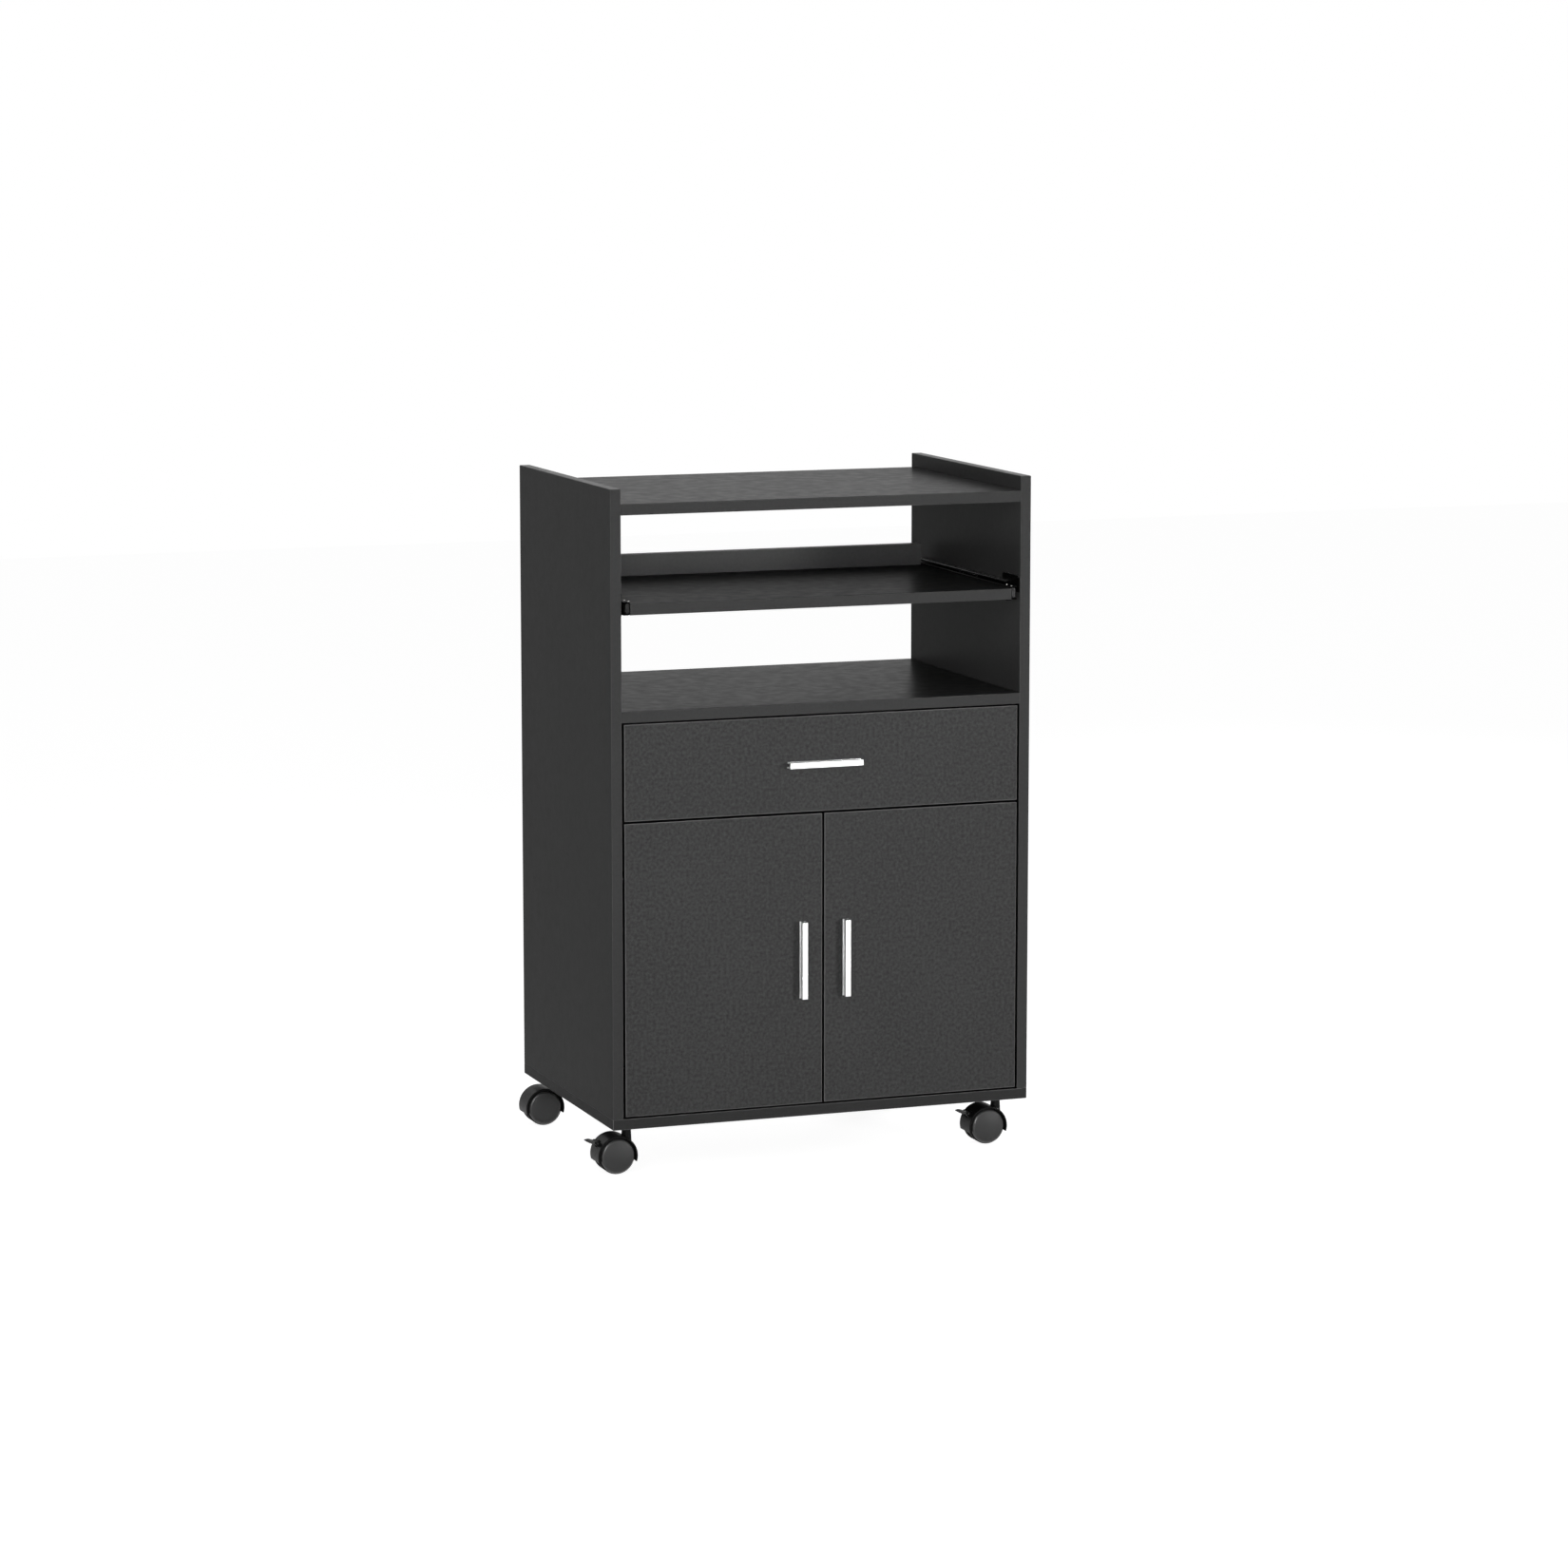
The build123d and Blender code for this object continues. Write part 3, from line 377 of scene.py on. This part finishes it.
def cover_finish():
    """Satin grey wheel covers, a little cloudy, with glossier rims."""
    finish = Finish("wheel_plastic", IOR=COVER_IOR)
    rim = finish.falling(finish.maths("ABSOLUTE", finish.direction()["Y"]), COVER_RIM_LEAN)
    finish.colour(finish.blend(finish.rising(finish.noise(scale=18.0)), grey(0.030), grey(0.034)))
    finish.gloss(rim, COVER_IOR, COVER_RIM_IOR)
    cloud = finish.spread(finish.noise(scale=30.0), low=0.42, high=0.46)
    finish.roughness(finish.maths("SUBTRACT", cloud, finish.maths("MULTIPLY", rim, COVER_RIM_POLISH)))
    finish.bumps(finish.noise(scale=2600.0), depth=0.006 * MM)
    return finish.material


def moulded_finish(name, level, ior, rough):
    """Moulded plastic with a fine spark-eroded texture."""
    finish = Finish(name, IOR=ior)
    drift = finish.rising(finish.noise(scale=70.0, detail=3.0))
    dark, light = [grey(level * share) for share in MOULDED_TONE_SHARES]
    finish.colour(finish.blend(drift, dark, light))
    wear = finish.noise(scale=260.0, detail=3.0)
    finish.roughness(finish.spread(wear, rough - MOULDED_ROUGH_DRIFT, rough + MOULDED_ROUGH_DRIFT))
    finish.bumps(finish.noise(scale=3200.0), depth=0.02 * MM)
    return finish.material


# A finish for each material slot, and for the nodes that differ from their slot
FINISHES = {
    "charcoal_board": board_finish("charcoal_board", SHELF_TOP),
    "charcoal_front": board_finish("charcoal_front", level=0.050, ior=1.08, rough=0.38, mottle=0.3,
                                   pebble_depth=0.14 * MM, arris_highlight_gain=3.6),
    "inner_board": board_finish("inner_board", SHELF_TOP, rough=0.38),
    "hardboard": hardboard_finish(),
    "black_rail": rail_finish("black_rail"),
    "plated_steel": plated_finish(),
    "caster_plastic": moulded_finish("caster_plastic", level=0.007, ior=1.13, rough=0.34),
    "wheel_plastic": cover_finish(),
    "tyre_plastic": moulded_finish("tyre_plastic", level=0.008, ior=1.08, rough=0.5),
    "stop_plastic": moulded_finish("stop_plastic", level=0.016, ior=1.2, rough=0.30),
}
side_board = board_finish("charcoal_side", EDGE_TOP)
upright_handle = handle_finish("handle_metal_upright", along="Z")
outer_rail = rail_finish("black_rail_outer", painted_top_highlight=True)
lever_plastic = moulded_finish("lever_plastic", level=0.045, ior=1.25, rough=0.36)
NODE_FINISHES = {
    "left_side_panel": side_board,
    "right_side_panel": side_board,
    # Painted shade: the bottom panel is a darker copy of the board, for the light that falls off toward the
    # floor; its arrises get a stronger painted highlight
    "bottom_panel": board_finish("charcoal_bottom_painted_shade", SHELF_TOP, level=0.037, arris_highlight_gain=4.0),
    "pullout_shelf": board_finish("charcoal_pullout", PULLOUT_TOP),
    # Painted light: the lip is a paler copy of the board, for the front light that the top shelf keeps from
    # it
    "pullout_lip": board_finish("charcoal_lip_painted_light", EDGE_TOP, level=0.074),
    "pullout_outer_rails": outer_rail,
    "drawer_outer_rails": outer_rail,
    "drawer_handle": handle_finish("handle_metal_across", along="X"),
    "left_door_handle": upright_handle,
    "right_door_handle": upright_handle,
    "front_left_brake_lever": lever_plastic,
    "front_right_brake_lever": lever_plastic,
}


def dress_nodes():
    """Give every CAD node its own finish, or else that of its material slot."""
    for subpart in frame["record"]["subparts"]:
        node = subpart["node"]
        material = NODE_FINISHES.get(node) or FINISHES[subpart["material_slot"]]
        piece = frame["nodes"][node]
        piece.data.materials.clear()
        piece.data.materials.append(material)


def solid_boxes(node):
    """The lowest and highest corners of each separate solid of a node."""
    shape = bmesh.new()
    shape.from_mesh(frame["nodes"][node].data)
    bmesh.ops.remove_doubles(shape, verts=shape.verts, dist=WELD)
    waiting = set(shape.verts)
    boxes = []
    while waiting:
        reached = [waiting.pop()]
        for vert in reached:
            near = {edge.other_vert(vert) for edge in vert.link_edges} & waiting
            waiting -= near
            reached.extend(near)
        corners = [vert.co for vert in reached]
        low = Vector([min(co[axis] for co in corners) for axis in range(3)])
        high = Vector([max(co[axis] for co in corners) for axis in range(3)])
        boxes.append((low, high))
    shape.free()
    return sorted(boxes, key=lambda box: tuple(box[0]))


def turned(profile, sides=HEAD_SIDES):
    """A shape turned round Z from points of radius and height."""
    shape = bmesh.new()
    line = [shape.verts.new((radius, 0.0, height)) for radius, height in profile]
    edges = [shape.edges.new(pair) for pair in zip(line, line[1:])]
    bmesh.ops.spin(shape, geom=line + edges, cent=(0, 0, 0), axis=(0, 0, 1), angle=math.tau, steps=sides)
    bmesh.ops.remove_doubles(shape, verts=shape.verts, dist=WELD)
    bmesh.ops.recalc_face_normals(shape, faces=shape.faces)
    return shape


def mesh_of(shape, name):
    """A mesh that takes over a finished shape."""
    mesh = bpy.data.meshes.new(name)
    shape.to_mesh(mesh)
    shape.free()
    return mesh


def in_scene(shape, name):
    """An object in the scene, made of a finished shape."""
    piece = bpy.data.objects.new(name, mesh_of(shape, name))
    bpy.context.scene.collection.objects.link(piece)
    return piece


def domed_head(radius, rise):
    """A low domed head on Z 0, sunk a little into what carries it."""
    dome = [(radius * out, rise * up) for out, up in HEAD_DOME_SHARES]
    return turned([(0.0, -HEAD_SEAT), (radius, -HEAD_SEAT)] + dome + [(0.0, rise)])


def driven_head(radius, rise):
    """The mesh of a domed screw head with a cross cut in it for the driver."""
    head = in_scene(domed_head(radius, rise), "head")
    cutters = []
    for turn in (0.0, QUARTER_TURN):
        bar = bmesh.new()
        bmesh.ops.create_cube(bar, size=1.0)
        size = (radius * CROSS_LENGTH_SHARE, radius * CROSS_WIDTH_SHARE, rise * 2 * CROSS_DEPTH_SHARE)
        bmesh.ops.scale(bar, vec=size, verts=bar.verts)
        bmesh.ops.translate(bar, vec=(0.0, 0.0, rise), verts=bar.verts)
        bmesh.ops.rotate(bar, matrix=Matrix.Rotation(turn, 3, "Z"), verts=bar.verts)
        cutters.append(in_scene(bar, "cutter"))
        cut = head.modifiers.new("cross", "BOOLEAN")
        cut.operation = "DIFFERENCE"
        cut.solver = "EXACT"
        cut.object = cutters[-1]
    mesh = bpy.data.meshes.new_from_object(head.evaluated_get(bpy.context.evaluated_depsgraph_get()))
    for piece in [head] + cutters:
        bpy.data.objects.remove(piece)
    return mesh


def add_heads(name, size, seats, body, slot, plain=False):
    """A set of like screw or rivet heads as one piece, each on its seat and facing outward."""
    head = mesh_of(domed_head(*size), "head") if plain else driven_head(*size)
    whole = bmesh.new()
    for index, (place, outward) in enumerate(seats):
        first = len(whole.verts)
        whole.from_mesh(head)
        whole.verts.ensure_lookup_table()
        spin = Matrix.Rotation(index * HEAD_TURN, 4, "Z")
        facing = Vector(outward).to_track_quat("Z", "Y").to_matrix().to_4x4()
        seated = Matrix.Translation(place) @ facing @ spin
        bmesh.ops.transform(whole, matrix=seated, verts=whole.verts[first:])
    piece = in_scene(whole, name)
    piece.data.materials.append(FINISHES[slot])
    for face in piece.data.polygons:
        face.use_smooth = True
    piece.data.set_sharp_from_angle(angle=HEAD_SHARP_ANGLE)
    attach(piece, body)


def hinge_fittings():
    """Screws of the hinge plates, arms and cups."""
    for side, inward in (("left", 1), ("right", -1)):
        plates = []
        adjusters = []
        cups = []
        for low, high in solid_boxes(f"{side}_hinge_arms"):
            middle = (low + high) / 2
            panel_x = low.x if inward > 0 else high.x
            arm_x = high.x if inward > 0 else low.x
            for step in (-1, 1):
                plate = Vector((panel_x + inward * PLATE_THICKNESS, high.y - PLATE_LENGTH / 2,
                                middle.z + step * PLATE_SCREW_SPREAD))
                plates.append((plate, (inward, 0, 0)))
            for share in ADJUSTER_SHARES:
                adjuster = Vector((arm_x, high.y - PLATE_LENGTH * share, middle.z))
                adjusters.append((adjuster, (inward, 0, 0)))
        for low, high in solid_boxes(f"{side}_hinge_cups"):
            middle = (low + high) / 2
            for step in (-1, 1):
                cup = Vector((middle.x, high.y, middle.z + step * CUP_SCREW_SPREAD))
                cups.append((cup, (0, 1, 0)))
        add_heads(f"{side}_hinge_plate_screws", HINGE_SCREW, plates, "carcass", "plated_steel")
        add_heads(f"{side}_hinge_adjusters", ADJUSTER, adjusters, "carcass", "plated_steel")
        add_heads(f"{side}_hinge_cup_screws", HINGE_SCREW, cups, f"{side}_door_leaf", "plated_steel")


def handle_fittings():
    """Domed and crossed tops on the handle screws, inside the drawer and the doors."""
    bodies = {"drawer": "drawer", "left_door": "left_door_leaf", "right_door": "right_door_leaf"}
    for node, body in bodies.items():
        seats = []
        for low, high in solid_boxes(f"{node}_handle_screws"):
            middle = (low + high) / 2
            seats.append((Vector((middle.x, high.y, middle.z)), (0, 1, 0)))
        add_heads(f"{node}_handle_screw_tops", HANDLE_SCREW, seats, body, "plated_steel")


def web_screws(low, high, web_x, height, outward):
    """Seats of the screws along one rail's web."""
    return [(Vector((web_x, low.y + (high.y - low.y) * share, height)), (outward, 0, 0))
            for share in RAIL_SCREW_SHARES]


def slide_fittings():
    """Screws in the webs of the slides, and the screws and rivets at the pull-out's front."""
    for name in ("pullout", "drawer"):
        inner = []
        outer = []
        for (low, high), side in zip(solid_boxes(f"{name}_inner_rails"), (-1, 1)):
            web_x = high.x - RAIL_WALL if side < 0 else low.x + RAIL_WALL
            rail_z = (low.z + high.z) / 2
            inner += web_screws(low, high, web_x, rail_z, side)
        for (low, high), side in zip(solid_boxes(f"{name}_outer_rails"), (-1, 1)):
            web_x = low.x + RAIL_WALL if side < 0 else high.x - RAIL_WALL
            outer += web_screws(low, high, web_x, rail_z, -side)
        add_heads(f"{name}_inner_rail_screws", RAIL_SCREW, inner, name, "plated_steel")
        add_heads(f"{name}_outer_rail_screws", FLAT_RAIL_SCREW, outer, "carcass", "plated_steel")
    ears = []
    rivets = []
    for (low, high), side in zip(solid_boxes("pullout_outer_rails"), (-1, 1)):
        web_x = low.x + RAIL_WALL if side < 0 else high.x - RAIL_WALL
        ear = Vector((web_x, low.y + EAR_SCREW_SETBACK, high.z - EAR_SCREW_DROP))
        ears.append((ear, (-side, 0, 0)))
    for (low, high), side in zip(solid_boxes("pullout_inner_rails"), (-1, 1)):
        web_x = high.x if side < 0 else low.x
        for setback in RIVET_SETBACKS:
            rivet = Vector((web_x + side * RIVET_INSET, low.y + setback, high.z))
            rivets.append((rivet, (0, 0, 1)))
    add_heads("pullout_ear_screws", HINGE_SCREW, ears, "carcass", "black_rail")
    add_heads("pullout_rail_rivets", RIVET, rivets, "pullout", "plated_steel", plain=True)


def wheel_profile(radius, depth):
    """Half section of a wheel: bore, tread with its mould line, rounded cover rim and shallow dome."""
    cover = radius - WHEEL_COVER_STEP
    rim = cover - WHEEL_COVER_RIM
    rim_reach = WHEEL_DOME_RADIUS - WHEEL_COVER_RIM
    lean = math.asin(rim / rim_reach)
    rim_depth = depth - WHEEL_DOME_RADIUS + rim_reach * math.cos(lean)
    tread_end = rim_depth - WHEEL_SHOULDER
    middle = (WHEEL_SHOULDER + tread_end) / 2
    points = [(0.0, WHEEL_BORE_DEPTH), (WHEEL_BORE, WHEEL_BORE_DEPTH), (WHEEL_BORE, 0.0),
              (radius - WHEEL_SHOULDER, 0.0), (radius, WHEEL_SHOULDER), (radius, middle - TREAD_LINE),
              (radius - TREAD_LINE, middle), (radius, middle + TREAD_LINE), (radius, tread_end),
              (cover, tread_end)]
    for step in range(ARC_STEPS + 1):
        turn = (QUARTER_TURN - lean) * step / ARC_STEPS
        points.append((rim + WHEEL_COVER_RIM * math.cos(turn), rim_depth + WHEEL_COVER_RIM * math.sin(turn)))
    for step in range(1, ARC_STEPS + 1):
        turn = lean * (1 - step / ARC_STEPS)
        dome_drop = WHEEL_DOME_RADIUS * (1 - math.cos(turn))
        points.append((WHEEL_DOME_RADIUS * math.sin(turn), depth - dome_drop))
    return points


def caster_wheels():
    """Turned wheels in place of the CAD ones, each with a dull tyre round its smooth cover."""
    nodes = [subpart["node"] for subpart in frame["record"]["subparts"]]
    for node in nodes:
        if not node.endswith("_wheel"):
            continue
        (low, high), = solid_boxes(node)
        outward = -1 if "_fore_" in node else 1
        radius = (high.z - low.z) / 2
        shape = turned(wheel_profile(radius, high.y - low.y), WHEEL_SIDES)
        upright = Matrix.Rotation(-outward * QUARTER_TURN, 3, "X")
        bmesh.ops.rotate(shape, matrix=upright, verts=shape.verts)
        wheel = in_scene(shape, f"{node}_turned")
        wheel.data.materials.append(FINISHES["wheel_plastic"])
        wheel.data.materials.append(FINISHES["tyre_plastic"])
        for face in wheel.data.polygons:
            face.use_smooth = True
            corners = [wheel.data.vertices[index].co for index in face.vertices]
            reach = max(corner.xz.length for corner in corners)
            face.material_index = 1 if reach > radius - WHEEL_COVER_STEP / 2 else 0
        wheel.data.set_sharp_from_angle(angle=WHEEL_SHARP_ANGLE)
        inner_y = high.y if outward < 0 else low.y
        wheel.location = ((low.x + high.x) / 2, inner_y, (low.z + high.z) / 2)
        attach(wheel, node)
        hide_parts(node)


def seen_directly(nodes, links):
    """1 for camera, glossy and transmission rays, 0 for the rays that light the object."""
    path = nodes.new("ShaderNodeLightPath")
    largest = path.outputs["Is Camera Ray"]
    for name in ("Is Glossy Ray", "Is Transmission Ray"):
        node = nodes.new("ShaderNodeMath")
        node.operation = "MAXIMUM"
        links.new(largest, node.inputs[0])
        links.new(path.outputs[name], node.inputs[1])
        largest = node.outputs["Value"]
    return largest


def make_world():
    """A white background over a softer even light."""
    world = bpy.data.worlds.new("studio")
    bpy.context.scene.world = world
    world.use_nodes = True
    nodes = world.node_tree.nodes
    links = world.node_tree.links
    lighting = nodes["Background"]
    lighting.inputs["Color"].default_value = WHITE
    lighting.inputs["Strength"].default_value = WORLD_LEVEL
    shown = nodes.new("ShaderNodeBackground")
    shown.inputs["Color"].default_value = WHITE
    shown.inputs["Strength"].default_value = 1.0
    mix = nodes.new("ShaderNodeMixShader")
    links.new(seen_directly(nodes, links), mix.inputs["Fac"])
    links.new(lighting.outputs["Background"], mix.inputs[1])
    links.new(shown.outputs["Background"], mix.inputs[2])
    links.new(mix.outputs["Shader"], nodes["World Output"].inputs["Surface"])


def make_floor():
    """A plain pale floor that shows white and keeps the soft shadow."""
    bpy.ops.mesh.primitive_plane_add(size=2 * FLOOR_REACH, location=(0, 0, 0))
    floor = bpy.context.object
    floor.name = "studio_floor"
    material = bpy.data.materials.new("pale_floor")
    material.use_nodes = True
    nodes = material.node_tree.nodes
    links = material.node_tree.links
    nodes.remove(nodes["Principled BSDF"])
    matt = nodes.new("ShaderNodeBsdfDiffuse")
    matt.inputs["Color"].default_value = FLOOR_COLOUR
    glow = nodes.new("ShaderNodeEmission")
    strength = nodes.new("ShaderNodeMath")
    strength.operation = "MULTIPLY"
    links.new(seen_directly(nodes, links), strength.inputs[0])
    strength.inputs[1].default_value = FLOOR_GLOW
    links.new(strength.outputs["Value"], glow.inputs["Strength"])
    both = nodes.new("ShaderNodeAddShader")
    links.new(matt.outputs["BSDF"], both.inputs[0])
    links.new(glow.outputs["Emission"], both.inputs[1])
    links.new(both.outputs["Shader"], nodes["Material Output"].inputs["Surface"])
    floor.data.materials.append(material)


def make_lamps():
    """Large soft lamps: low ones that reach in under the shelves, one high, one behind, one overhead."""
    for name, settings in LAMPS.items():
        lamp = bpy.data.lights.new(name, "AREA")
        lamp.size = settings["size"]
        lamp.spread = math.radians(settings["beam"])
        lamp.energy = settings["power"]
        stand = bpy.data.objects.new(name, lamp)
        bpy.context.scene.collection.objects.link(stand)
        stand.location = settings["place"]
        stand.rotation_euler = (LAMP_TARGET - settings["place"]).to_track_quat("-Z", "Y").to_euler()


def make_camera():
    """A long lens at the photograph's viewing angle."""
    camera = bpy.data.objects.new("camera", bpy.data.cameras.new("camera"))
    bpy.context.scene.collection.objects.link(camera)
    camera.location = CAMERA_PLACE
    camera.rotation_euler = (QUARTER_TURN - CAMERA_DIP, 0.0, CAMERA_TURN)
    camera.data.lens = CAMERA_LENS
    bpy.context.scene.camera = camera


dress_nodes()
hinge_fittings()
handle_fittings()
slide_fittings()
caster_wheels()
make_world()
make_floor()
make_lamps()
make_camera()
bpy.context.scene.view_settings.view_transform = "Standard"
